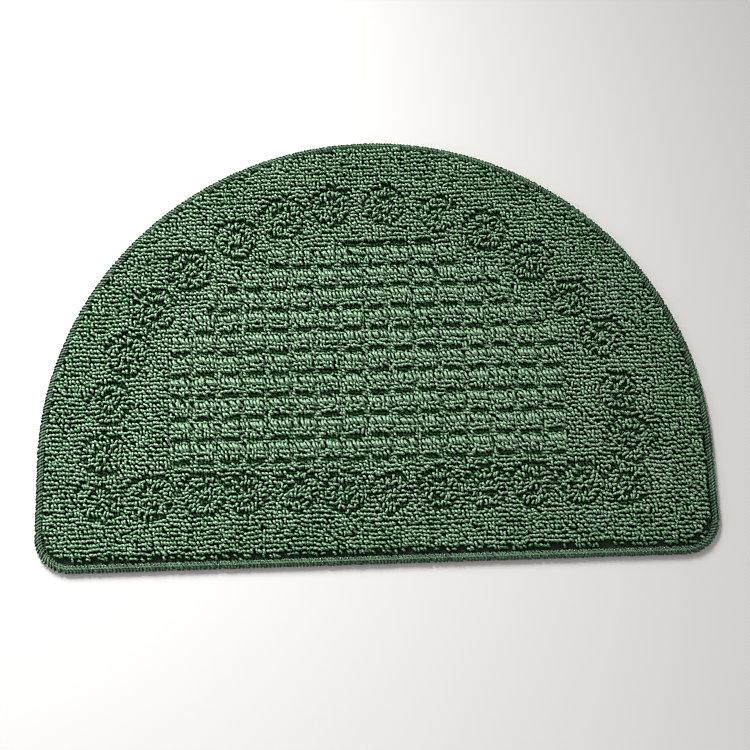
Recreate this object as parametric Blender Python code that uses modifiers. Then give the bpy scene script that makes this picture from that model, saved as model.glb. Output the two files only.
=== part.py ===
"""Half-round doormat in tufted loop pile, with its edge overlocked in yarn.

The mat lies flat on the floor: +Z is up, +X runs along the straight edge and +Y points to the
top of the arc. The origin is on the floor, in the middle of the mat's length and depth.
The pile is sculpted at two heights: a plain border, a chain of ring rosettes, a plain frame and
a field of square cushions. Figures and cushions stand at the high level, with low channels between.
"""

import math

import bmesh
import bpy

# Driving dimensions, in metres
WIDTH = 0.600
DEPTH = 0.400
CORNER_RADIUS = 0.033
HIGH_PILE = 0.0085
LOW_PILE = 0.0055
SHOULDER = 0.0020
CLEARANCE = 0.0003

# The tufting machine's own grid: loops along a row, and rows one behind the other
STITCH = 0.00318
GAUGE = 0.00403

# The overlocked edge, and the margin of bare backing that it is sewn round
EDGE_WIDTH = 0.0078
EDGE_HEIGHT = 0.0062
MARGIN_BOTTOM = 0.0016
MARGIN_TOP = 0.0032
MARGIN_INSET = 0.0026

# The pattern lies a little off the middle of the cut mat
PATTERN_X = -0.007
ARC_BASE_Y = 0.100

# The field of cushions: wide channels between the rows, narrower and shallower ones across them
FIELD_X = -0.0054
COLUMN_PITCH = 7 * STITCH
ROW_PITCH = 5 * GAUGE
COLUMNS = 16
FIELD_ROWS = 10
FIELD_FRONT_Y = 0.0942
FIELD_RADIUS = 0.198
ROW_CHANNEL = 0.0060
CROSS_CHANNEL = 0.0050
CROSS_CHANNEL_FLOOR = 0.0060
CHANNEL_LAP = 0.0010
LAST_CHANNEL_REACH = 0.045
LAST_CHANNEL_SHIFT = 0.018

# Rosettes, as radii from their middle
BUMP_RADIUS = 0.0062
RING_INNER_RADIUS = 0.0110
RING_OUTER_RADIUS = 0.0165
WELL_RADIUS = 0.0213
ROSETTE_ARC_RADIUS = 0.233
ROSETTE_ARC_BASE_Y = 0.1025
ROSETTE_FRONT_REACH = 0.230
ROSETTE_FRONT_Y = 0.0645
ARC_ROSETTES = 16
FRONT_ROSETTES = 12

# How far a wall of pile leans in from its foot to its top, and how deep a figure is rooted
PILE_LEAN = 0.0007
ROOT = 0.0010
OVERCUT = 0.0030

# Facets of the round stretches
ARC_STEPS = 48
CORNER_STEPS = 7
ROSETTE_STEPS = 16
SHOULDER_STEPS = 2

MERGE = 0.00001
FLAT_ANGLE = math.radians(0.1)
SHARP_ANGLE = math.radians(50)
PILE_GREEN = (0.060, 0.170, 0.075, 1.0)
PILE_ROUGHNESS = 0.9
EDGE_GREEN = (0.045, 0.135, 0.060, 1.0)
EDGE_ROUGHNESS = 0.85


def from_front(y):
    """Turns a distance from the mat's straight edge into the part's own Y."""
    return y - DEPTH / 2


def mat_outline(inset):
    """Corner points of the half-round outline, moved in by inset, counter-clockwise."""
    radius = WIDTH / 2 - inset
    arc_y = DEPTH / 2 - WIDTH / 2
    points = []
    for step in range(ARC_STEPS + 1):
        angle = math.pi * step / ARC_STEPS
        points.append((radius * math.cos(angle), arc_y + radius * math.sin(angle)))
    corner_x = WIDTH / 2 - CORNER_RADIUS
    corner_y = CORNER_RADIUS - DEPTH / 2
    turn = CORNER_RADIUS - inset
    for side, start in ((-1, math.pi), (1, 1.5 * math.pi)):
        for step in range(CORNER_STEPS + 1):
            angle = start + math.pi / 2 * step / CORNER_STEPS
            points.append((side * corner_x + turn * math.cos(angle), corner_y + turn * math.sin(angle)))
    return points


def row_reach(front):
    """Half the length of a row of cushions whose front edge is that far from the straight edge."""
    straight = COLUMNS / 2 * COLUMN_PITCH + CROSS_CHANNEL / 2
    rise = max(0.0, front - ARC_BASE_Y)
    return min(straight, math.sqrt(FIELD_RADIUS**2 - rise**2))


def rosette_centres():
    """Centres of the rosettes: round the arc from right to left, then along the front."""
    centres = []
    for index in range(ARC_ROSETTES):
        angle = math.pi * index / (ARC_ROSETTES - 1)
        x = ROSETTE_ARC_RADIUS * math.cos(angle)
        y = ROSETTE_ARC_BASE_Y + ROSETTE_ARC_RADIUS * math.sin(angle)
        centres.append((PATTERN_X + x, from_front(y)))
    for index in range(FRONT_ROSETTES):
        x = ROSETTE_FRONT_REACH * (2 * index / (FRONT_ROSETTES - 1) - 1)
        centres.append((PATTERN_X + x, from_front(ROSETTE_FRONT_Y)))
    return centres


def new_object(name, mesh, collection):
    """An object that shows this mesh or curve, in this collection."""
    thing = bpy.data.objects.new(name, mesh)
    collection.objects.link(thing)
    return thing


def slab(name, points, bottom, top, collection):
    """A flat plate of that outline between two heights: a filled 2D curve, turned into a mesh."""
    curve = bpy.data.curves.new(name, "CURVE")
    curve.dimensions = "2D"
    curve.fill_mode = "BOTH"
    curve.extrude = (top - bottom) / 2
    spline = curve.splines.new("POLY")
    spline.points.add(len(points) - 1)
    for point, (x, y) in zip(spline.points, points):
        point.co = (x, y, 0, 1)
    spline.use_cyclic_u = True
    drawn = new_object(name + "_curve", curve, collection)
    drawn.location.z = (bottom + top) / 2
    return curve_to_mesh(name, drawn, collection)


def curve_to_mesh(name, drawn, collection):
    """Makes a mesh object of a curve object, welds it, joins its flat facets and removes the curve."""
    bpy.context.view_layer.update()
    evaluated = drawn.evaluated_get(bpy.context.evaluated_depsgraph_get())
    mesh = bpy.data.meshes.new_from_object(evaluated)
    shape = bmesh.new()
    shape.from_mesh(mesh)
    bmesh.ops.remove_doubles(shape, verts=shape.verts, dist=MERGE)
    bmesh.ops.dissolve_limit(shape, verts=shape.verts, edges=shape.edges, angle_limit=FLAT_ANGLE)
    bmesh.ops.recalc_face_normals(shape, faces=shape.faces)
    shape.to_mesh(mesh)
    shape.free()
    thing = new_object(name, mesh, collection)
    thing.matrix_world = drawn.matrix_world.copy()
    bpy.data.objects.remove(drawn)
    return thing


def add_frustum(shape, centre, foot_radius, top_radius, bottom, top):
    """A round plug of pile, or a round cutter, with leaning walls."""
    made = bmesh.ops.create_cone(
        shape,
        cap_ends=True,
        segments=ROSETTE_STEPS,
        radius1=foot_radius,
        radius2=top_radius,
        depth=top - bottom,
    )
    bmesh.ops.translate(shape, verts=made["verts"], vec=(*centre, (bottom + top) / 2))


def add_ring(shape, centre):
    """A rosette's raised ring: a section with leaning walls, spun round the rosette's middle."""
    section = (
        (RING_OUTER_RADIUS, LOW_PILE - ROOT),
        (RING_OUTER_RADIUS - PILE_LEAN, HIGH_PILE),
        (RING_INNER_RADIUS + PILE_LEAN, HIGH_PILE),
        (RING_INNER_RADIUS, LOW_PILE - ROOT),
    )
    corners = [shape.verts.new((centre[0] + radius, centre[1], z)) for radius, z in section]
    edges = [shape.edges.new((a, b)) for a, b in zip(corners, corners[1:] + corners[:1])]
    bmesh.ops.spin(
        shape,
        geom=corners + edges,
        cent=(*centre, 0),
        axis=(0, 0, 1),
        angle=2 * math.pi,
        steps=ROSETTE_STEPS,
        use_merge=True,
    )


def add_trough(shape, left, right, front, back, floor):
    """A cutter for one straight channel, wider at the top of the pile than at its floor."""
    flare = PILE_LEAN * (HIGH_PILE + OVERCUT - floor) / (HIGH_PILE - LOW_PILE)
    made = bmesh.ops.create_cube(shape, size=1.0)
    for vertex in made["verts"]:
        above = vertex.co.z > 0
        wider = flare if above else 0.0
        vertex.co.x = right + wider if vertex.co.x > 0 else left - wider
        vertex.co.y = back + wider if vertex.co.y > 0 else front - wider
        vertex.co.z = HIGH_PILE + OVERCUT if above else floor


def row_channels(tools):
    """The channels that run along the rows, one in front of each row and a short one behind the last."""
    shape = bmesh.new()
    for row in range(FIELD_ROWS + 1):
        middle = FIELD_FRONT_Y + row * ROW_PITCH
        front = from_front(middle - ROW_CHANNEL / 2)
        back = from_front(middle + ROW_CHANNEL / 2)
        if row < FIELD_ROWS:
            reach = row_reach(middle)
            centre = FIELD_X
        else:
            reach = LAST_CHANNEL_REACH
            centre = FIELD_X + LAST_CHANNEL_SHIFT
        add_trough(shape, centre - reach, centre + reach, front, back, LOW_PILE)
    return shape_to_object("row_channels", shape, tools)


def cross_channels(tools):
    """The channels that part each row into cushions. They end inside the channels along the rows."""
    shape = bmesh.new()
    for row in range(FIELD_ROWS):
        row_front = FIELD_FRONT_Y + row * ROW_PITCH
        front = row_front + ROW_CHANNEL / 2 - CHANNEL_LAP
        back = row_front + ROW_PITCH - ROW_CHANNEL / 2 + CHANNEL_LAP
        if row == FIELD_ROWS - 1:
            back = back - ROW_CHANNEL
        reach = row_reach(row_front) - CROSS_CHANNEL / 2
        for column in range(-COLUMNS // 2, COLUMNS // 2 + 1):
            x = column * COLUMN_PITCH
            if abs(x) <= reach:
                left = FIELD_X + x - CROSS_CHANNEL / 2
                right = left + CROSS_CHANNEL
                add_trough(shape, left, right, from_front(front), from_front(back), CROSS_CHANNEL_FLOOR)
    return shape_to_object("cross_channels", shape, tools)


def shape_to_object(name, shape, collection):
    """Turns a finished bmesh into an object."""
    bmesh.ops.recalc_face_normals(shape, faces=shape.faces)
    mesh = bpy.data.meshes.new(name)
    shape.to_mesh(mesh)
    shape.free()
    return new_object(name, mesh, collection)


def rosette_figures(tools):
    """The rosettes' raised rings and middles, as one mesh of separate bodies."""
    shape = bmesh.new()
    for centre in rosette_centres():
        add_ring(shape, centre)
        add_frustum(shape, centre, BUMP_RADIUS, BUMP_RADIUS - PILE_LEAN, LOW_PILE - ROOT, HIGH_PILE)
    return shape_to_object("rosette_figures", shape, tools)


def rosette_wells(tools):
    """Round wells that the rosettes stand in. Neighbours run into each other, so they are cut in turns."""
    centres = rosette_centres()
    wells = []
    for turn in range(2):
        shape = bmesh.new()
        for centre in centres[turn::2]:
            top_radius = WELL_RADIUS + PILE_LEAN * OVERCUT / (HIGH_PILE - LOW_PILE)
            add_frustum(shape, centre, WELL_RADIUS - PILE_LEAN, top_radius, LOW_PILE, HIGH_PILE + OVERCUT)
        wells.append(shape_to_object(f"rosette_wells_{turn}", shape, tools))
    return wells


def combine(target, tool, operation):
    """Adds the tool to the target, or cuts it out, with a modifier."""
    modifier = target.modifiers.new(tool.name, "BOOLEAN")
    modifier.operation = operation
    modifier.object = tool
    as_tool(tool)


def as_tool(thing):
    """Keeps a cutter out of the picture."""
    thing.hide_render = True
    thing.display_type = "WIRE"


def finish(name, colour, roughness):
    """A plain material for one sub-part."""
    material = bpy.data.materials.new(name)
    material.use_nodes = True
    surface = material.node_tree.nodes["Principled BSDF"]
    surface.inputs["Base Color"].default_value = colour
    surface.inputs["Roughness"].default_value = roughness
    surface.inputs["Metallic"].default_value = 0.0
    material.diffuse_color = colour
    return material


def round_shoulder(mat):
    """Rounds the top rim, where the outermost loops lean over the edge."""
    marks = mat.data.attributes.new("bevel_weight_edge", "FLOAT", "EDGE")
    top = max(vertex.co.z for vertex in mat.data.vertices) - MERGE
    for edge in mat.data.edges:
        if all(mat.data.vertices[index].co.z > top for index in edge.vertices):
            marks.data[edge.index].value = 1.0
    bevel = mat.modifiers.new("shoulder", "BEVEL")
    bevel.limit_method = "WEIGHT"
    bevel.width = SHOULDER
    bevel.segments = SHOULDER_STEPS


def build_mat(parts, tools):
    """The tufted cloth: pile with a margin of bare backing, cut down to the low pile in its channels."""
    mat = slab("pile_mat", mat_outline(EDGE_WIDTH + CLEARANCE), 0.0, HIGH_PILE, parts)
    round_shoulder(mat)
    margin = slab("backing_margin", mat_outline(MARGIN_INSET), MARGIN_BOTTOM, MARGIN_TOP, tools)
    combine(mat, margin, "UNION")
    for cutter in [row_channels(tools), cross_channels(tools)] + rosette_wells(tools):
        combine(mat, cutter, "DIFFERENCE")
    combine(mat, rosette_figures(tools), "UNION")
    mat.data.materials.append(finish("pile_yarn", PILE_GREEN, PILE_ROUGHNESS))


def edge_section():
    """The overlocking's section as (distance in from the edge, height), with a slot for the margin."""
    slot_end = MARGIN_INSET - CLEARANCE
    slot_bottom = MARGIN_BOTTOM - CLEARANCE
    slot_top = MARGIN_TOP + CLEARANCE
    return (
        (0.18 * EDGE_WIDTH, 0.0),
        (0.86 * EDGE_WIDTH, 0.0),
        (EDGE_WIDTH, 0.12 * EDGE_HEIGHT),
        (EDGE_WIDTH, slot_bottom),
        (slot_end, slot_bottom),
        (slot_end, slot_top),
        (EDGE_WIDTH, slot_top),
        (EDGE_WIDTH, 0.74 * EDGE_HEIGHT),
        (0.82 * EDGE_WIDTH, 0.93 * EDGE_HEIGHT),
        (0.50 * EDGE_WIDTH, EDGE_HEIGHT),
        (0.17 * EDGE_WIDTH, 0.90 * EDGE_HEIGHT),
        (0.0, 0.66 * EDGE_HEIGHT),
        (0.0, 0.24 * EDGE_HEIGHT),
    )


def closed_line(name, points):
    """A flat curve that closes on itself through these points."""
    curve = bpy.data.curves.new(name, "CURVE")
    curve.dimensions = "2D"
    curve.fill_mode = "NONE"
    spline = curve.splines.new("POLY")
    spline.points.add(len(points) - 1)
    for point, (x, y) in zip(spline.points, points):
        point.co = (x, y, 0, 1)
    spline.use_cyclic_u = True
    return curve


def build_edge(parts, tools):
    """The roll of overlocking yarn: its section carried once round the mat's outline."""
    section = new_object("edge_section", closed_line("edge_section", edge_section()), tools)
    route = closed_line("edge_route", mat_outline(0.0))
    route.bevel_mode = "OBJECT"
    route.bevel_object = section
    drawn = new_object("edge_route", route, parts)
    edge = curve_to_mesh("overlock_edge", drawn, parts)
    as_tool(section)
    edge.data.materials.append(finish("edge_yarn", EDGE_GREEN, EDGE_ROUGHNESS))
    edge.data.shade_smooth()
    edge.data.set_sharp_from_angle(angle=SHARP_ANGLE)


def main():
    """Builds the mat and its edge in an empty file."""
    for thing in list(bpy.data.objects):
        bpy.data.objects.remove(thing)
    parts = bpy.data.collections.new("half_round_doormat")
    tools = bpy.data.collections.new("doormat_cutters")
    for collection in (parts, tools):
        bpy.context.scene.collection.children.link(collection)
    build_mat(parts, tools)
    build_edge(parts, tools)


main()
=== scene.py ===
"""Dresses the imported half-round doormat: yarn loops at two pile heights, its backing and its overlocked edge.

Sizes are in metres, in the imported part's frame: the straight edge faces -Y and the pile faces +Z.
"""

import math

import bpy
import numpy as np
from mathutils import Matrix, Vector


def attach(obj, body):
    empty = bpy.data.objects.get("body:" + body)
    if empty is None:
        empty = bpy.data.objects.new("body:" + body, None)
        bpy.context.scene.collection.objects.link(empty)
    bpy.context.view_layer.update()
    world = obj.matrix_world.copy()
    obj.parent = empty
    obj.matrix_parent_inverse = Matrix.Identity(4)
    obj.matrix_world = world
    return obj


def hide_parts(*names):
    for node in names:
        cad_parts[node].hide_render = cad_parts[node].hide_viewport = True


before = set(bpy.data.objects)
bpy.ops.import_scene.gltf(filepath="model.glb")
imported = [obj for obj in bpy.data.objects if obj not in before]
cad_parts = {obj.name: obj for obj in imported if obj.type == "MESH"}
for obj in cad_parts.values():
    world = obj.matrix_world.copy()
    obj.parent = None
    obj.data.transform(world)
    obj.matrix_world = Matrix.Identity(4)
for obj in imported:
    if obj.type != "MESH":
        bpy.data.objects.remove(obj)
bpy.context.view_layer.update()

# Outline and pattern, as the solids have them
WIDTH = 0.600
DEPTH = 0.400
CORNER_RADIUS = 0.033
STITCH = 0.00318
GAUGE = 0.00403
PATTERN_X = -0.007
FIELD_X = -0.0054
ARC_BASE_Y = 0.100
COLUMNS = 16
FIELD_ROWS = 10
FIELD_FRONT_Y = 0.0942
FIELD_RADIUS = 0.198
LAST_CHANNEL_REACH = 0.045
LAST_CHANNEL_SHIFT = 0.018
WELL_RADIUS = 0.0213
ROSETTE_ARC_RADIUS = 0.233
ROSETTE_ARC_BASE_Y = 0.1025
ROSETTE_FRONT_REACH = 0.230
ROSETTE_FRONT_Y = 0.0645
ARC_ROSETTES = 16
FRONT_ROSETTES = 12
# A rosette's high loops by where they are sewn, all a little nearer its middle than the solids' bump and ring
BUMP_RADIUS = 0.0054
RING_INNER_RADIUS = 0.0105
RING_OUTER_RADIUS = 0.0162

# The same pattern counted in loops: one cushion with its channels, and the rows and stitches that cover the mat
COLUMN_STITCHES = 7
LOW_STITCHES = 2
ROW_LOOPS = 5
LOW_ROWS = 2
# How far past its outer columns a row of cushions goes, as a share of one column
ROW_END_SHARE = 0.06
ALL_ROWS = np.arange(-26, 80)
ALL_STITCHES = np.arange(-100, 100)

# How high each kind of loop stands, where it starts, and how low its yarn may reach
BORDER_TOP = 0.0083
HIGH_TOP = 0.0088
CROSS_TOP = 0.0062
GROOVE_TOP = 0.0055
LOW_TOP = 0.0049
HIGHEST_TOP = 0.0094
SHADED_DROP = 0.0019
GROOVE_DROP_SHARE = 1.3
SPARSE_DROP = 0.0015
FOOT = 0.0019
LEAST_RISE = 0.0005
LOWEST = 0.0008

# The yarn of a loop, how far its legs stand apart, and which way it lies across its row
YARN_RADIUS = 0.00110
BORDER_YARN_RADIUS = 0.00114
LONG_YARN_RADIUS = 0.00134
PLAIN_SPAN = 0.00155
FIELD_SPAN = 0.00185
LONG_SPAN = 0.00260
PLAIN_TURN = math.radians(-32)
FIELD_TURN = math.radians(-38)
LONG_TURN = math.radians(-62)
# How far the loops lean back, or forward below nought, in each row of a channel and its cushion, front row first
ROW_LEAN = np.array([0.0002, -0.0006, -0.0018, -0.0020, -0.0011])
FRONT_LEAN = -0.0002
# How far a tall loop leans over a channel beside it, sideways and endways, and the shares for other low places
SIDE_LEAN = 0.00045
END_LEAN = 0.00040
CROSS_SHARE = 0.5
GROOVE_SHARE = 0.8
LOOP_TWIST = 6.0
AROUND = 5
# The loop's path from foot to foot: how far out, as a share of its span, and how high
PATH = np.array([(-0.74, 0.0), (-1.0, 0.62), (-0.76, 0.93), (0.76, 0.93), (1.0, 0.62), (0.74, 0.0)])
PATH_TOP = PATH[:, 1].max()
THICKNESS = np.array([0.80, 0.95, 1.05, 1.05, 0.95, 0.80])
BEND_POWER = 1.6
# Painted light and shade on a loop's yarn: lighter the higher it is along the loop, and on the upper side of the yarn
PAINTED_LIGHT_BY_HEIGHT = 0.75
PAINTED_LIGHT_BY_SIDE = 0.25

# Where the pile ends. It stays further off the roll on the right and along the straight edge, and thins out there
PILE_INSET = 0.0078
FRONT_PILE_INSET = 0.0088
RIGHT_SIDE_X = 0.240
SPARSE_REACH = 0.0048
SPARSE_MISSING = 0.45
BORDER_REACH = 0.038
BORDER_ZONE_REACH = 0.042
ROSETTE_ZONE_REACH = 0.090
# The field is cut into two pieces this far behind the straight edge
FIELD_CUT = 0.180

# How uneven the tufting is: slow drifts over a wave's length, and chance from one loop to the next
DRIFT_X = 0.0005
DRIFT_Y = 0.0007
PLACE_WAVE = 0.05
SCATTER_X = 0.00038
SCATTER_Y = 0.00036
PILE_END_SCATTER = 0.0006
TOP_DRIFT = 0.00025
TOP_WAVE = 0.03
LOW_TOP_SCATTER = 0.0006
HIGH_TOP_SCATTER = 0.00032
TURN_DRIFT = math.radians(18)
TURN_WAVE = 0.022
TURN_SCATTER = math.radians(22)
LONG_UNREST = 0.4
ROSETTE_UNREST = 1.7
LEAN_SCATTER = 0.00040
SPAN_SCATTER = 0.12
THICK_SCATTER = 0.07
HEIGHT_SCATTER = 0.00022
BOW_SCATTER = 0.00032
ROSETTE_SHIFT = 0.0013
ROSETTE_STRETCH = 0.05
ROSETTE_DRIFT = 0.0009
ROSETTE_WAVE = 0.012
# The waves that make up a drift: how many, their lengths as shares of its own, and their peak over their spread
WAVES = 12
SHORTEST_WAVE = 0.6
LONGEST_WAVE = 1.6
USUAL_PEAK = 1.6

# Tones of yarn, lighter above nought: an uneven dye lot, and painted light and shade for how much light each kind of
# loop gets
TONE_SCATTER = 1.2
LEAST_TONE_UNREST = 0.5
LOW_PAINTED_SHADE = -0.5
CROSS_PAINTED_LIGHT = 0.5
GROOVE_PAINTED_LIGHT = 1.5
BORDER_PAINTED_SHADE = -0.6
LONG_PAINTED_LIGHT = 2.8
FIELD_PAINTED_LIGHT = 1.4
PLAIN_PAINTED_LIGHT = 0.9
SHADED_TONE = -5.5
SPARSE_PAINTED_SHADE = -2.0

# Backing
BACKING_TOP = 0.0022
BACKING_BOTTOM = 0.0004
BACKING_INSET = 0.0030
BACKING_STEP = 0.006
WARP_PITCH = 0.0022
WEFT_PITCH = 0.0026

# Overlocked edge: wraps of yarn round a closed core
EDGE_INSET = 0.0040
EDGE_HALF_WIDTH = 0.0027
EDGE_HALF_HEIGHT = 0.0019
INNER_WIDTH_SHARE = 1.18
WRAP_RADIUS = 0.00120
EDGE_MIDDLE_Z = EDGE_HALF_HEIGHT + WRAP_RADIUS
WRAP_PITCH = 0.00290
WRAP_SLANT = 0.0024
WRAP_WIDTH_SCATTER = 0.04
WRAP_HEIGHT_SCATTER = 0.03
WRAP_SLANT_SCATTER = 0.25
WRAP_SHIFT = 0.00030
WRAP_THICK_SCATTER = 0.04
WRAP_PAINTED_SHADE_POWER = 2.8
WRAP_TWIST = 8.0
WRAP_POINTS = 12
WRAP_AROUND = 5
CORE_SHARE = 0.9
CORE_AROUND = 8
CORE_PAINTED_SHADE = -4.0
CORE_PAINTED_LIGHT = 0.3
# The order of a quad's corners that turns its face the other way
TURNED_OVER = [0, 3, 2, 1]

# Finer than any step taken along the outline
OUTLINE_STEP = 0.0004
# The bare rim of each tube's cell in the map for baking
CELL_RIM = 0.03

# The photograph's own view. The lens is 1543 pixels long where the picture is 750 wide
CAMERA_TILT = math.radians(16.7)
CAMERA_YAW = math.radians(1.85)
CAMERA_DISTANCE = 1.391
CAMERA_AIM = (0.0022, -0.0273, 0.0)
SENSOR_WIDTH = 36.0
FOCAL_LENGTH = SENSOR_WIDTH * 1543 / 750
SHARPENING = 0.096

# The draws for loops and wraps, in a fixed order. Drifts and rosettes have seeds of their own
random = np.random.RandomState(4)

FIELD, FRAME, ROSETTES, BORDER = range(4)


def link(name, mesh):
    """Puts a mesh into the scene as a piece that rides on the mat."""
    thing = bpy.data.objects.new(name, mesh)
    bpy.context.scene.collection.objects.link(thing)
    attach(thing, "root")
    return thing


def mat_outline(inset, step):
    """Points about a step apart along the outline moved in by inset, counter-clockwise from the arc's right end."""
    radius = WIDTH / 2 - inset
    turn = CORNER_RADIUS - inset
    arc_y = DEPTH / 2 - WIDTH / 2
    corner_x = WIDTH / 2 - CORNER_RADIUS
    corner_y = CORNER_RADIUS - DEPTH / 2
    stretches = [
        ("arc", 0.0, arc_y, radius, 0.0, math.pi),
        ("line", -radius, arc_y, -radius, corner_y),
        ("arc", -corner_x, corner_y, turn, math.pi, 1.5 * math.pi),
        ("line", -corner_x, corner_y - turn, corner_x, corner_y - turn),
        ("arc", corner_x, corner_y, turn, 1.5 * math.pi, 2 * math.pi),
        ("line", radius, corner_y, radius, arc_y),
    ]
    xs, ys = [], []
    for kind, *numbers in stretches:
        if kind == "arc":
            cx, cy, r, start, end = numbers
            count = max(2, int(abs(end - start) * r / OUTLINE_STEP))
            a = np.linspace(start, end, count, endpoint=False)
            xs.append(cx + r * np.cos(a))
            ys.append(cy + r * np.sin(a))
        else:
            x0, y0, x1, y1 = numbers
            count = max(2, int(math.hypot(x1 - x0, y1 - y0) / OUTLINE_STEP))
            t = np.linspace(0, 1, count, endpoint=False)
            xs.append(x0 + (x1 - x0) * t)
            ys.append(y0 + (y1 - y0) * t)
    x = np.concatenate(xs)
    y = np.concatenate(ys)
    x = np.append(x, x[0])
    y = np.append(y, y[0])
    along = np.concatenate([[0], np.cumsum(np.hypot(np.diff(x), np.diff(y)))])
    count = round(along[-1] / step)
    at = np.arange(count) * along[-1] / count
    return np.interp(at, along, x), np.interp(at, along, y)


def inset_of(x, y):
    """How far in from the outline each point lies. It is negative outside."""
    arc_y = DEPTH / 2 - WIDTH / 2
    over = np.maximum(y - arc_y, 0)
    side = WIDTH / 2 - np.hypot(x, over)
    bottom = y + DEPTH / 2
    cx = np.abs(x) - (WIDTH / 2 - CORNER_RADIUS)
    cy = (CORNER_RADIUS - DEPTH / 2) - y
    in_corner = (cx > 0) & (cy > 0)
    return np.where(in_corner, CORNER_RADIUS - np.hypot(cx, cy), np.minimum(side, bottom))


def rosette_centres():
    """The middles of the rosettes: a chain round the arc, then a row along the straight edge."""
    angle = np.pi * np.arange(ARC_ROSETTES) / (ARC_ROSETTES - 1)
    arc_x = ROSETTE_ARC_RADIUS * np.cos(angle)
    arc_y = ROSETTE_ARC_BASE_Y + ROSETTE_ARC_RADIUS * np.sin(angle)
    front_x = np.linspace(-ROSETTE_FRONT_REACH, ROSETTE_FRONT_REACH, FRONT_ROSETTES)
    front_y = np.full(FRONT_ROSETTES, ROSETTE_FRONT_Y)
    x = np.concatenate([arc_x, front_x]) + PATTERN_X
    y = np.concatenate([arc_y, front_y]) - DEPTH / 2
    return x, y


def row_reach(front):
    """How far to each side of its middle a row of cushions goes, from where its front lies."""
    straight = (COLUMNS / 2 + ROW_END_SHARE) * COLUMN_STITCHES * STITCH
    rise = np.clip(front - ARC_BASE_Y, 0, FIELD_RADIUS)
    return np.minimum(straight, np.sqrt(FIELD_RADIUS**2 - rise**2))


def row_front(row):
    """Where the row of cushions that holds this row of loops starts."""
    return FIELD_FRONT_Y + np.floor_divide(row, ROW_LOOPS) * ROW_LOOPS * GAUGE


def smooth_noise(x, y, scale, seed):
    """A smooth random field made of a few waves, about -1 to 1."""
    chance = np.random.RandomState(seed)
    total = np.zeros_like(x)
    for _ in range(WAVES):
        angle = chance.uniform(0, 2 * np.pi)
        size = scale * chance.uniform(SHORTEST_WAVE, LONGEST_WAVE)
        phase = chance.uniform(0, 2 * np.pi)
        total += np.sin(2 * np.pi * (x * np.cos(angle) + y * np.sin(angle)) / size + phase)
    return total / math.sqrt(WAVES / 2) / USUAL_PEAK


def to_rosette(x, y):
    """Distance from each point to the middle of the nearest rosette, and its direction. No two are quite alike."""
    uneven = np.random.RandomState(8)
    nearest = np.full(x.shape, 1.0)
    direction = np.zeros(x.shape)
    for cx, cy in zip(*rosette_centres()):
        cx, cy = np.array([cx, cy]) + uneven.normal(0, ROSETTE_SHIFT, 2)
        away = np.hypot(x - cx, y - cy) * (1 + uneven.normal(0, ROSETTE_STRETCH))
        direction = np.where(away < nearest, np.arctan2(y - cy, x - cx), direction)
        nearest = np.minimum(nearest, away)
    return nearest + ROSETTE_DRIFT * smooth_noise(x, y, ROSETTE_WAVE, seed=9), direction


def low_pile(x, y, row, stitch):
    """Which loops stand in a channel along a row, between the cushions of one row, and in a rosette's groove."""
    px = x - FIELD_X
    field_loops = FIELD_ROWS * ROW_LOOPS
    in_rows = (row >= 0) & (row < field_loops) & (np.abs(px) < row_reach(row_front(row)))
    last = (row >= field_loops) & (row < field_loops + LOW_ROWS)
    last = last & (np.abs(px - LAST_CHANNEL_SHIFT) < LAST_CHANNEL_REACH)
    along = last | (in_rows & (row % ROW_LOOPS < LOW_ROWS))
    across = (in_rows | last) & (stitch % COLUMN_STITCHES < LOW_STITCHES)
    d, _ = to_rosette(x, y)
    groove = (d < WELL_RADIUS) & ~(d < BUMP_RADIUS) & ~((d > RING_INNER_RADIUS) & (d < RING_OUTER_RADIUS))
    return along & ~across & ~groove, across & ~groove, groove


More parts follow.
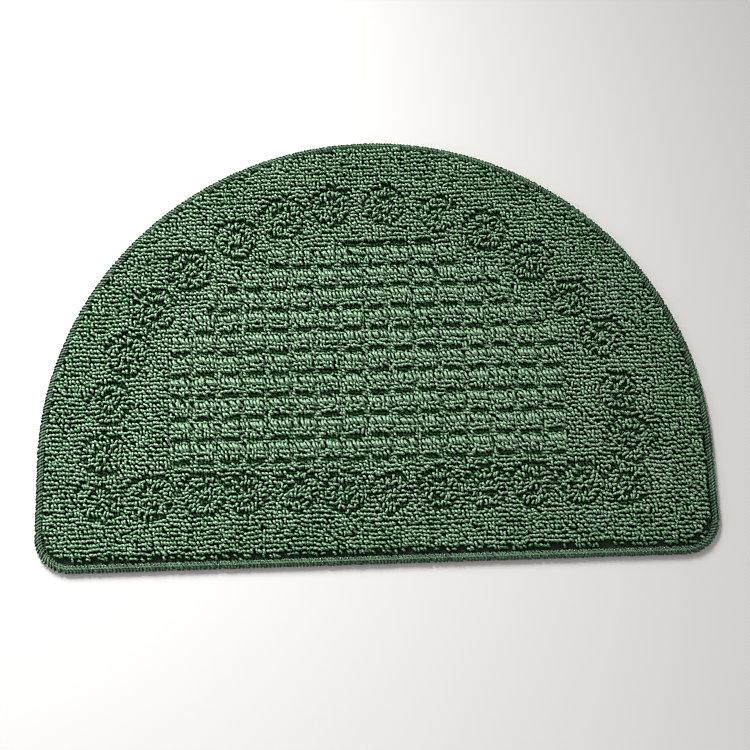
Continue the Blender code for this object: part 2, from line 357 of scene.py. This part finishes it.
def place_loops():
    """One entry for each loop: where it stands, how high it is, how it turns and leans, and its zone."""
    row, stitch = (v.ravel() for v in np.meshgrid(ALL_ROWS, ALL_STITCHES, indexing="ij"))
    x0 = PATTERN_X + stitch * STITCH
    y0 = FIELD_FRONT_Y + (row - 0.5) * GAUGE - DEPTH / 2
    low, across, groove = low_pile(x0, y0, row, stitch)
    d, direction = to_rosette(x0, y0)
    x = x0 + DRIFT_X * smooth_noise(x0, y0, PLACE_WAVE, seed=1) + random.normal(0, SCATTER_X, x0.shape)
    y = y0 + DRIFT_Y * smooth_noise(x0, y0, PLACE_WAVE, seed=2) + random.normal(0, SCATTER_Y, x0.shape)
    front_strip = y0 < CORNER_RADIUS - DEPTH / 2
    pile_inset = np.where(front_strip | (x0 > RIGHT_SIDE_X), FRONT_PILE_INSET, PILE_INSET)
    from_edge = inset_of(x0, y0) - pile_inset
    keep = from_edge > random.normal(0, PILE_END_SCATTER, x0.shape)
    sparse = front_strip & (from_edge < SPARSE_REACH)
    keep = keep & ~(sparse & (random.uniform(0, 1, x0.shape) < SPARSE_MISSING))
    row, stitch, x, y, x0, y0 = (v[keep] for v in (row, stitch, x, y, x0, y0))
    low, across, groove, d, direction, sparse = (v[keep] for v in (low, across, groove, d, direction, sparse))

    inset = inset_of(x0, y0)
    in_field = (row >= 0) & (row < FIELD_ROWS * ROW_LOOPS) & (np.abs(x0 - FIELD_X) < row_reach(row_front(row)))
    in_border = (inset < BORDER_REACH) & ~groove
    in_rosette = d < RING_OUTER_RADIUS
    far_row = in_field & (row % ROW_LOOPS == ROW_LOOPS - 1)
    low_here = low | across | groove
    zones = [in_field, inset < BORDER_ZONE_REACH, inset < ROSETTE_ZONE_REACH]
    zone = np.select(zones, [FIELD, BORDER, ROSETTES], FRAME)

    # a low loop in front of a tall one lies deep in its shadow, and a tall one beside a channel leans over it
    shaded = (low | groove) & ~np.any(low_pile(x0, y0 + GAUGE, row + 1, stitch), axis=0)
    slope_x = np.zeros_like(x)
    slope_y = np.zeros_like(x)
    for dx, dy in ((1, 0), (-1, 0), (0, 1), (0, -1)):
        side_low, side_across, side_groove = low_pile(x0 + dx * STITCH, y0 + dy * GAUGE, row + dy, stitch + dx)
        depth = side_low + CROSS_SHARE * side_across + GROOVE_SHARE * side_groove
        slope_x += dx * depth
        slope_y += dy * depth

    level = [low, across, groove, in_border]
    top = np.select(level, [LOW_TOP, CROSS_TOP, GROOVE_TOP, BORDER_TOP], HIGH_TOP) - SPARSE_DROP * sparse
    top = top - SHADED_DROP * np.where(groove, GROOVE_DROP_SHARE, 1.0) * shaded
    top = top + random.normal(0, 1, x.shape) * np.where(low_here, LOW_TOP_SCATTER, HIGH_TOP_SCATTER)
    top = np.minimum(top + TOP_DRIFT * smooth_noise(x, y, TOP_WAVE, seed=3), HIGHEST_TOP)

    kind = [far_row, in_field]
    unrest = np.select([far_row, in_rosette], [LONG_UNREST, ROSETTE_UNREST], 1.0)
    turn = np.where(in_rosette, direction, np.select(kind, [LONG_TURN, FIELD_TURN], PLAIN_TURN))
    turn = turn + unrest * TURN_DRIFT * smooth_noise(x, y, TURN_WAVE, seed=5)
    turn = turn + unrest * random.normal(0, TURN_SCATTER, x.shape)
    span = np.select(kind, [LONG_SPAN, FIELD_SPAN], PLAIN_SPAN)
    thick = np.select([far_row & ~low_here, in_border], [LONG_YARN_RADIUS, BORDER_YARN_RADIUS], YARN_RADIUS)

    lean_x = random.normal(0, LEAN_SCATTER, x.shape) + np.where(low_here, 0, SIDE_LEAN * slope_x)
    lean_y = random.normal(0, LEAN_SCATTER, x.shape) + FRONT_LEAN
    lean_y = lean_y + np.where(in_field, ROW_LEAN[row % ROW_LOOPS], 0)
    lean_y = lean_y + np.where(low_here | in_field, 0, END_LEAN * slope_y)

    tone = unrest.clip(LEAST_TONE_UNREST, 1.0) * random.normal(0, TONE_SCATTER, x.shape)
    # painted light and shade for each kind of loop, added to the dye lot's scatter
    high_painted_light = np.select(kind, [LONG_PAINTED_LIGHT, FIELD_PAINTED_LIGHT], PLAIN_PAINTED_LIGHT)
    tone = tone + np.select(level, [LOW_PAINTED_SHADE, CROSS_PAINTED_LIGHT, GROOVE_PAINTED_LIGHT, BORDER_PAINTED_SHADE], high_painted_light)
    # painted shadow on low loops in a tall loop's shadow, and painted shade on the thinned loops by the straight edge
    tone = tone + SHADED_TONE * shaded + SPARSE_PAINTED_SHADE * sparse
    return {
        "x": x, "y": y, "x0": x0, "from_front": y0 + DEPTH / 2, "top": top, "turn": turn, "span": span,
        "thick": thick, "lean_x": lean_x, "lean_y": lean_y, "tone": tone, "zone": zone,
    }


def ring_points(centre, ahead, side, radius, around):
    """A ring of points round each point of each tube's path, square to the way that the path runs there."""
    side = side - ahead * np.sum(side * ahead, axis=2, keepdims=True)
    side /= np.linalg.norm(side, axis=2, keepdims=True)
    up = np.cross(ahead, side)
    angle = 2 * np.pi * np.arange(around) / around
    ring = np.cos(angle)[:, None] * side[:, :, None, :] + np.sin(angle)[:, None] * up[:, :, None, :]
    return (centre[:, :, None, :] + radius[:, :, None, None] * ring).reshape(-1, 3)


def tube_faces(count, rings, around, closed=False):
    """The quads of some tubes, and how far round and along its tube each corner of one tube's quads lies."""
    steps = rings if closed else rings - 1
    i, j = (v.ravel() for v in np.meshgrid(np.arange(steps), np.arange(around), indexing="ij"))
    corner_i = np.stack([i, i, i + 1, i + 1], axis=1)
    corner_j = np.stack([j, j + 1, j + 1, j], axis=1)
    quads = corner_i % rings * around + corner_j % around
    faces = (np.arange(count)[:, None, None] * rings * around + quads).reshape(-1, 4)
    return faces, corner_j / around, corner_i / steps


def tube_maps(first, count, grid, across, along, twist):
    """The two maps of some tubes: one cell of a square grid for each, and a map that follows the yarn's twist."""
    cell = np.arange(first, first + count)[:, None, None]
    u = (cell % grid + CELL_RIM + (1 - 2 * CELL_RIM) * across) / grid
    v = (cell // grid + CELL_RIM + (1 - 2 * CELL_RIM) * along) / grid
    cells = np.stack([u, v], axis=3).reshape(-1, 2)
    yarn = np.broadcast_to(np.stack([across, along * twist], axis=2), (count, *across.shape, 2)).reshape(-1, 2)
    return cells, yarn


def tube_mesh(name, points, faces, cells, yarn, tone, lift):
    """A smooth mesh of quads with its two maps, and at each point two numbers for the yarn's colour: its dye with
    painted light and shade, and painted light and shade by where the point lies.
    """
    mesh = bpy.data.meshes.new(name)
    mesh.vertices.add(len(points))
    mesh.vertices.foreach_set("co", points.astype(np.float32).ravel())
    mesh.loops.add(faces.size)
    mesh.loops.foreach_set("vertex_index", faces.astype(np.int32).ravel())
    mesh.polygons.add(len(faces))
    mesh.polygons.foreach_set("loop_start", np.arange(0, faces.size, 4, dtype=np.int32))
    mesh.update(calc_edges=True)
    mesh.polygons.foreach_set("use_smooth", np.ones(len(faces), dtype=bool))
    for layer, values in (("OFBake", cells), ("yarn", yarn)):
        uv = mesh.uv_layers.new(name=layer)
        uv.uv.foreach_set("vector", values.astype(np.float32).ravel())
    for layer, values in (("tone", tone), ("lift", lift)):
        attribute = mesh.attributes.new(layer, "FLOAT", "POINT")
        attribute.data.foreach_set("value", values.astype(np.float32).ravel())
    mesh.validate()
    return mesh


def loops_mesh(name, loops):
    """One mesh of all these loops: each a tube of yarn that rises from the backing, turns over and goes down."""
    count = len(loops["x"])
    rings = len(PATH)
    span = loops["span"] * (1 + random.normal(0, SPAN_SCATTER, count))
    thick = loops["thick"] * (1 + random.normal(0, THICK_SCATTER, count))
    rise = np.maximum(loops["top"] - thick - FOOT, LEAST_RISE)
    cos_turn = np.cos(loops["turn"])
    sin_turn = np.sin(loops["turn"])

    share = PATH[None, :, 1] / PATH_TOP
    bend = share**BEND_POWER
    out = PATH[None, :, 0] * span[:, None]
    uneven = random.normal(0, HEIGHT_SCATTER, (count, rings))
    uneven[:, [0, -1]] = 0
    bow = random.normal(0, BOW_SCATTER, (count, rings)) * bend
    cx = loops["x"][:, None] + out * cos_turn[:, None] - bow * sin_turn[:, None] + bend * loops["lean_x"][:, None]
    cy = loops["y"][:, None] + out * sin_turn[:, None] + bow * cos_turn[:, None] + bend * loops["lean_y"][:, None]
    cz = FOOT + (share * rise[:, None] + uneven)
    centre = np.stack([cx, cy, cz], axis=2)

    ahead = np.empty_like(centre)
    ahead[:, 1:-1] = centre[:, 2:] - centre[:, :-2]
    ahead[:, 0] = centre[:, 1] - centre[:, 0]
    ahead[:, -1] = centre[:, -1] - centre[:, -2]
    ahead /= np.linalg.norm(ahead, axis=2, keepdims=True)
    side = np.stack([-sin_turn, cos_turn, np.zeros(count)], axis=1)[:, None, :]
    points = ring_points(centre, ahead, side, thick[:, None] * THICKNESS, AROUND)
    points[:, 2] = np.maximum(points[:, 2], LOWEST)

    faces, across, along = tube_faces(count, rings, AROUND)
    cells, yarn = tube_maps(0, count, math.ceil(math.sqrt(count)), across, along, LOOP_TWIST)
    tone = np.repeat(loops["tone"], rings * AROUND)
    # painted light and shade: the yarn is lighter the higher it is along its loop and on its upper side
    upper = np.sin(2 * np.pi * np.arange(AROUND) / AROUND)
    lift = np.tile((PAINTED_LIGHT_BY_HEIGHT * share[0][:, None] + PAINTED_LIGHT_BY_SIDE * upper).ravel(), count)
    return tube_mesh(name, points, faces, cells, yarn, tone, lift)


def edge_mesh(name):
    """The overlocking: one slanted ring of yarn after another round the mat's rim, and the core inside them."""
    x, y = mat_outline(EDGE_INSET, WRAP_PITCH)
    count = len(x)
    travel = np.stack([np.roll(x, -1) - np.roll(x, 1), np.roll(y, -1) - np.roll(y, 1)], axis=1)
    travel /= np.linalg.norm(travel, axis=1, keepdims=True)
    outward = np.stack([travel[:, 1], -travel[:, 0]], axis=1)
    t = 2 * np.pi * np.arange(WRAP_POINTS) / WRAP_POINTS
    width = EDGE_HALF_WIDTH * (1 + random.normal(0, WRAP_WIDTH_SCATTER, count))[:, None]
    height = EDGE_HALF_HEIGHT * (1 + random.normal(0, WRAP_HEIGHT_SCATTER, count))[:, None]
    slant = WRAP_SLANT * (1 + random.normal(0, WRAP_SLANT_SCATTER, count))[:, None]
    shift = random.normal(0, WRAP_SHIFT, count)[:, None]
    reach = width * np.where(np.cos(t) > 0, np.cos(t), INNER_WIDTH_SHARE * np.cos(t))
    stray = slant * np.cos(t) + shift
    cx = x[:, None] + outward[:, 0:1] * reach + travel[:, 0:1] * stray
    cy = y[:, None] + outward[:, 1:2] * reach + travel[:, 1:2] * stray
    cz = np.maximum(EDGE_MIDDLE_Z + height * np.sin(t), WRAP_RADIUS)
    centre = np.stack([cx, cy, cz], axis=2)
    ahead = np.roll(centre, -1, axis=1) - np.roll(centre, 1, axis=1)
    ahead /= np.linalg.norm(ahead, axis=2, keepdims=True)
    side = np.stack([travel[:, 0], travel[:, 1], np.zeros(count)], axis=1)[:, None, :]
    thick = WRAP_RADIUS * (1 + random.normal(0, WRAP_THICK_SCATTER, count))
    points = ring_points(centre, ahead, side, thick[:, None], WRAP_AROUND)
    points[:, 2] = np.maximum(points[:, 2], 0.0)
    tone = np.repeat(random.normal(0, TONE_SCATTER, count), WRAP_POINTS * WRAP_AROUND)
    # painted shade: the roll's yarn is darker the lower it lies
    lift = np.clip(points[:, 2] / (2 * EDGE_MIDDLE_Z), 0, 1) ** WRAP_PAINTED_SHADE_POWER
    grid = math.ceil(math.sqrt(count))
    faces, across, along = tube_faces(count, WRAP_POINTS, WRAP_AROUND, closed=True)
    cells, yarn = tube_maps(0, count, grid, across, along, WRAP_TWIST)

    # the core fills the roll, so no light comes through between two wraps, and it is painted dark as the shade where
    # it shows between them; its map takes the grid's last cell
    t = 2 * np.pi * np.arange(CORE_AROUND) / CORE_AROUND
    core = np.empty((count, CORE_AROUND, 3))
    core[:, :, 0] = x[:, None] + outward[:, 0:1] * CORE_SHARE * EDGE_HALF_WIDTH * np.cos(t)
    core[:, :, 1] = y[:, None] + outward[:, 1:2] * CORE_SHARE * EDGE_HALF_WIDTH * np.cos(t)
    core[:, :, 2] = EDGE_MIDDLE_Z + CORE_SHARE * EDGE_HALF_HEIGHT * np.sin(t)
    tube = tube_faces(1, count, CORE_AROUND, closed=True)
    core_faces, across, along = (corners[:, TURNED_OVER] for corners in tube)
    core_cells, core_yarn = tube_maps(grid**2 - 1, 1, grid, across, along, count)

    faces = np.concatenate([faces, len(points) + core_faces])
    points = np.concatenate([points, core.reshape(-1, 3)])
    cells = np.concatenate([cells, core_cells])
    yarn = np.concatenate([yarn, core_yarn])
    tone = np.concatenate([tone, np.full(count * CORE_AROUND, CORE_PAINTED_SHADE)])
    lift = np.concatenate([lift, np.full(count * CORE_AROUND, CORE_PAINTED_LIGHT)])
    return tube_mesh(name, points, faces, cells, yarn, tone, lift)


def backing_mesh(name):
    """The cloth that the loops are tufted into: a closed sheet with the mat's outline."""
    x, y = mat_outline(BACKING_INSET, BACKING_STEP)
    count = len(x)
    bottom = np.stack([x, y, np.full(count, BACKING_BOTTOM)], axis=1)
    top = np.stack([x, y, np.full(count, BACKING_TOP)], axis=1)
    mesh = bpy.data.meshes.new(name)
    faces = [list(range(count))[::-1], list(range(count, 2 * count))]
    for k in range(count):
        after = (k + 1) % count
        faces.append([k, after, count + after, count + k])
    mesh.from_pydata(np.concatenate([bottom, top]).tolist(), [], faces)
    mesh.update()
    return mesh


def nodes_of(name):
    """A new material, its node tree and its surface shader."""
    material = bpy.data.materials.new(name)
    material.use_nodes = True
    tree = material.node_tree
    return material, tree, tree.nodes["Principled BSDF"]


def add(tree, kind, **settings):
    """A new node with these settings."""
    node = tree.nodes.new(kind)
    for key, value in settings.items():
        setattr(node, key, value)
    return node


def feed(tree, socket, value):
    """Sets a socket to a number or colour, or links another node's output to it."""
    if isinstance(value, (int, float, tuple)):
        socket.default_value = value
    else:
        tree.links.new(value, socket)


def math_node(tree, operation, a, b=None):
    """The output of one math node."""
    node = add(tree, "ShaderNodeMath", operation=operation)
    feed(tree, node.inputs[0], a)
    if b is not None:
        feed(tree, node.inputs[1], b)
    return node.outputs[0]


def swing(tree, value, middle, weight):
    """How far a value is off its middle, weighted."""
    return math_node(tree, "MULTIPLY", math_node(tree, "SUBTRACT", value, middle), weight)


def noise(tree, place, scale, detail):
    """The output of one noise texture."""
    node = add(tree, "ShaderNodeTexNoise")
    node.inputs["Scale"].default_value = scale
    node.inputs["Detail"].default_value = detail
    tree.links.new(place, node.inputs["Vector"])
    return node.outputs["Fac"]


def mix_colours(tree, factor, a, b):
    """A colour between two others."""
    node = add(tree, "ShaderNodeMix", data_type="RGBA")
    for socket, value in ((node.inputs["Factor"], factor), (node.inputs[6], a), (node.inputs[7], b)):
        feed(tree, socket, value)
    return node.outputs[2]


def emboss(tree, surface, height, strength, distance):
    """Gives the surface a bump from a height."""
    bump = add(tree, "ShaderNodeBump")
    bump.inputs["Strength"].default_value = strength
    bump.inputs["Distance"].default_value = distance
    tree.links.new(height, bump.inputs["Height"])
    tree.links.new(bump.outputs["Normal"], surface.inputs["Normal"])


def yarn_material(name, deep, middle, light, roughness, fuzz):
    """Heat-set yarn: painted shade darker down in the pile and painted light at the loop's top, painted shade between
    its plies, and twisted plies and fine fibres in the bump.
    """
    material, tree, surface = nodes_of(name)
    lift = add(tree, "ShaderNodeAttribute", attribute_name="lift").outputs["Fac"]
    tone = add(tree, "ShaderNodeAttribute", attribute_name="tone").outputs["Fac"]
    place = add(tree, "ShaderNodeTexCoord").outputs["Object"]
    fibres = noise(tree, place, scale=1400, detail=3)
    patches = noise(tree, place, scale=14, detail=2)

    # plies twisted round each other: stripes that run round and along the yarn, for the bump and for painted shade in
    # the grooves between the plies
    uv = add(tree, "ShaderNodeUVMap", uv_map="yarn")
    parts = add(tree, "ShaderNodeSeparateXYZ")
    tree.links.new(uv.outputs["UV"], parts.inputs[0])
    turns = math_node(tree, "ADD", math_node(tree, "MULTIPLY", parts.outputs["X"], 2.0), parts.outputs["Y"])
    plies = math_node(tree, "ABSOLUTE", math_node(tree, "SINE", math_node(tree, "MULTIPLY", turns, math.pi)))

    # painted light and shade: the yarn's colour runs from the deep stop low in the pile to the light stop at the
    # loop's top
    ramp = add(tree, "ShaderNodeMapRange")
    ramp.inputs["From Min"].default_value = 0.30
    ramp.inputs["From Max"].default_value = 1.05
    tree.links.new(lift, ramp.inputs["Value"])
    shade = math_node(tree, "ADD", ramp.outputs[0], math_node(tree, "MULTIPLY", tone, 0.13))
    for value, centre, weight in ((patches, 0.5, 0.5), (fibres, 0.5, 0.5), (plies, 0.64, 0.45)):
        shade = math_node(tree, "ADD", shade, swing(tree, value, centre, weight))
    stops = add(tree, "ShaderNodeValToRGB")
    stops.color_ramp.elements[0].color = deep
    stops.color_ramp.elements[1].color = light
    stops.color_ramp.elements.new(0.40).color = middle
    tree.links.new(shade, stops.inputs["Fac"])
    tree.links.new(stops.outputs["Color"], surface.inputs["Base Color"])

    fuzzy = math_node(tree, "MULTIPLY", fibres, 0.5)
    height = math_node(tree, "ADD", math_node(tree, "MULTIPLY", plies, 0.7), fuzzy)
    emboss(tree, surface, height, strength=1.0, distance=0.0005)
    rough = math_node(tree, "ADD", roughness, swing(tree, fibres, 0.5, 0.2))
    tree.links.new(rough, surface.inputs["Roughness"])
    surface.inputs["Specular IOR Level"].default_value = 0.5
    surface.inputs["Sheen Weight"].default_value = fuzz
    surface.inputs["Sheen Roughness"].default_value = 0.30
    surface.inputs["Sheen Tint"].default_value = (0.60, 1.0, 0.68, 1)
    return material


def backing_material():
    """Woven backing: painted near-black green on top, as the shade where it shows between loops, a pale coated weave
    underneath.
    """
    material, tree, surface = nodes_of("backing_cloth")
    place = add(tree, "ShaderNodeTexCoord").outputs["Object"]
    facing = add(tree, "ShaderNodeSeparateXYZ")
    tree.links.new(add(tree, "ShaderNodeNewGeometry").outputs["True Normal"], facing.inputs[0])
    upper = math_node(tree, "GREATER_THAN", facing.outputs["Z"], -0.5)
    at = add(tree, "ShaderNodeSeparateXYZ")
    tree.links.new(place, at.inputs[0])
    warp = math_node(tree, "SINE", math_node(tree, "MULTIPLY", at.outputs["X"], 2 * math.pi / WARP_PITCH))
    weft = math_node(tree, "SINE", math_node(tree, "MULTIPLY", at.outputs["Y"], 2 * math.pi / WEFT_PITCH))
    weave = math_node(tree, "MULTIPLY", warp, weft)
    factor = math_node(tree, "ADD", math_node(tree, "MULTIPLY", weave, 0.25), noise(tree, place, scale=60, detail=5))
    under = mix_colours(tree, factor, (0.42, 0.40, 0.34, 1), (0.66, 0.64, 0.57, 1))
    # painted shade: the top of the cloth, seen only between the loops, is near black
    over = mix_colours(tree, factor, (0.003, 0.010, 0.004, 1), (0.010, 0.030, 0.012, 1))
    tree.links.new(mix_colours(tree, upper, under, over), surface.inputs["Base Color"])
    emboss(tree, surface, weave, strength=0.6, distance=0.0004)
    surface.inputs["Roughness"].default_value = 0.85
    return material


def build_mat():
    """The pile in seven pieces, the overlocking, and the backing that stands for the cloth with all its loops."""
    green = yarn_material(
        "pile_yarn", deep=(0.0, 0.098, 0.004, 1), middle=(0.024, 0.130, 0.032, 1), light=(0.171, 0.304, 0.183, 1),
        roughness=0.50, fuzz=0.0,
    )
    rim = yarn_material(
        "edge_yarn", deep=(0.0, 0.016, 0.003, 1), middle=(0.005, 0.040, 0.013, 1), light=(0.054, 0.130, 0.062, 1),
        roughness=0.56, fuzz=0.8,
    )
    loops = place_loops()
    zone = loops["zone"]
    zones = {
        "pile_field_front": (zone == FIELD) & (loops["from_front"] < FIELD_CUT),
        "pile_field_back": (zone == FIELD) & (loops["from_front"] >= FIELD_CUT),
        "pile_frame": zone == FRAME,
        "pile_rosettes_left": (zone == ROSETTES) & (loops["x0"] < PATTERN_X),
        "pile_rosettes_right": (zone == ROSETTES) & (loops["x0"] >= PATTERN_X),
        "pile_border_left": (zone == BORDER) & (loops["x0"] < 0),
        "pile_border_right": (zone == BORDER) & (loops["x0"] >= 0),
    }
    for name, chosen in zones.items():
        mesh = loops_mesh(name, {key: value[chosen] for key, value in loops.items()})
        mesh.materials.append(green)
        link(name, mesh)
        print(name, "loops", int(chosen.sum()), "triangles", 2 * len(mesh.polygons))
    edge_shape = edge_mesh("edge_wraps")
    edge_shape.materials.append(rim)
    edge = link("edge_wraps", edge_shape)
    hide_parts("overlock_edge")
    print("edge_wraps triangles", 2 * len(edge_shape.polygons))
    sheet_shape = backing_mesh("backing_cloth")
    sheet_shape.materials.append(backing_material())
    backing = link("backing_cloth", sheet_shape)
    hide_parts("pile_mat")


def build_floor():
    """A plain pale floor under the mat."""
    mesh = bpy.data.meshes.new("floor")
    half = 3.0
    mesh.from_pydata([(-half, -half, 0), (half, -half, 0), (half, half, 0), (-half, half, 0)], [], [(0, 1, 2, 3)])
    floor = bpy.data.objects.new("floor", mesh)
    bpy.context.scene.collection.objects.link(floor)
    material, _, surface = nodes_of("pale_floor")
    surface.inputs["Base Color"].default_value = (0.58, 0.575, 0.568, 1)
    surface.inputs["Roughness"].default_value = 0.45
    mesh.materials.append(material)


def place_light(name, kind, energy, place, aim):
    """A nearly white lamp at a place, turned to its aim."""
    lamp = bpy.data.lights.new(name, kind)
    lamp.energy = energy
    lamp.color = (1.0, 0.99, 0.97)
    thing = bpy.data.objects.new(name, lamp)
    thing.location = place
    thing.rotation_euler = (Vector(aim) - Vector(place)).to_track_quat("-Z", "Y").to_euler()
    bpy.context.scene.collection.objects.link(thing)
    return lamp


def build_light():
    """Soft light all round, a large soft lamp from behind on the left, and a faint one from the left."""
    world = bpy.data.worlds.new("studio")
    bpy.context.scene.world = world
    world.use_nodes = True
    sky = world.node_tree.nodes["Background"]
    sky.inputs["Color"].default_value = (1.0, 0.97, 0.95, 1)
    sky.inputs["Strength"].default_value = 0.52
    window = place_light("window", "SPOT", energy=565, place=(-0.85, 1.60, 1.38), aim=(-0.37, 0.05, 0))
    window.shadow_soft_size = 0.62
    window.spot_size = math.radians(46)
    window.spot_blend = 1.0
    left_wall = place_light("left_wall", "AREA", energy=3, place=(-1.05, 0.05, 0.80), aim=(-0.35, 0, 0))
    left_wall.shape = "RECTANGLE"
    left_wall.size = 1.0
    left_wall.size_y = 0.7


def build_camera():
    """The photograph's own view: nearly straight down, from the side of the straight edge."""
    sin_tilt, cos_tilt = math.sin(CAMERA_TILT), math.cos(CAMERA_TILT)
    sin_yaw, cos_yaw = math.sin(CAMERA_YAW), math.cos(CAMERA_YAW)
    right = (cos_yaw, -sin_yaw, 0.0)
    up = (sin_yaw * cos_tilt, cos_yaw * cos_tilt, sin_tilt)
    back = (-sin_yaw * sin_tilt, -cos_yaw * sin_tilt, cos_tilt)
    data = bpy.data.cameras.new("camera")
    data.sensor_width = SENSOR_WIDTH
    data.lens = FOCAL_LENGTH
    camera = bpy.data.objects.new("camera", data)
    place = [CAMERA_AIM[k] + CAMERA_DISTANCE * back[k] for k in range(3)]
    rows = [(right[k], up[k], back[k], place[k]) for k in range(3)] + [(0, 0, 0, 1)]
    camera.matrix_world = Matrix(rows)
    bpy.context.scene.collection.objects.link(camera)
    bpy.context.scene.camera = camera


def sharpen(amount):
    """Sharpens the picture's brightness and leaves its colours alone, because the photograph looks sharpened."""
    scene = bpy.context.scene
    scene.use_nodes = True
    tree = scene.node_tree
    tree.nodes.clear()
    picture = add(tree, "CompositorNodeRLayers")
    coded = add(tree, "CompositorNodeConvertColorSpace", from_color_space="Linear Rec.709", to_color_space="sRGB")
    tree.links.new(picture.outputs["Image"], coded.inputs[0])
    parts = add(tree, "CompositorNodeSeparateColor", mode="YUV")
    tree.links.new(coded.outputs[0], parts.inputs[0])
    crisp = add(tree, "CompositorNodeFilter", filter_type="SHARPEN")
    crisp.inputs["Fac"].default_value = amount
    tree.links.new(parts.outputs[0], crisp.inputs["Image"])
    whole = add(tree, "CompositorNodeCombineColor", mode="YUV")
    tree.links.new(crisp.outputs[0], whole.inputs[0])
    for channel in (1, 2, 3):
        tree.links.new(parts.outputs[channel], whole.inputs[channel])
    linear = add(tree, "CompositorNodeConvertColorSpace", from_color_space="sRGB", to_color_space="Linear Rec.709")
    tree.links.new(whole.outputs[0], linear.inputs[0])
    result = add(tree, "CompositorNodeComposite")
    tree.links.new(linear.outputs[0], result.inputs["Image"])


sharpen(SHARPENING)
build_camera()
build_light()
build_floor()
build_mat()
bpy.context.scene.view_settings.view_transform = "Standard"
bpy.context.view_layer.update()
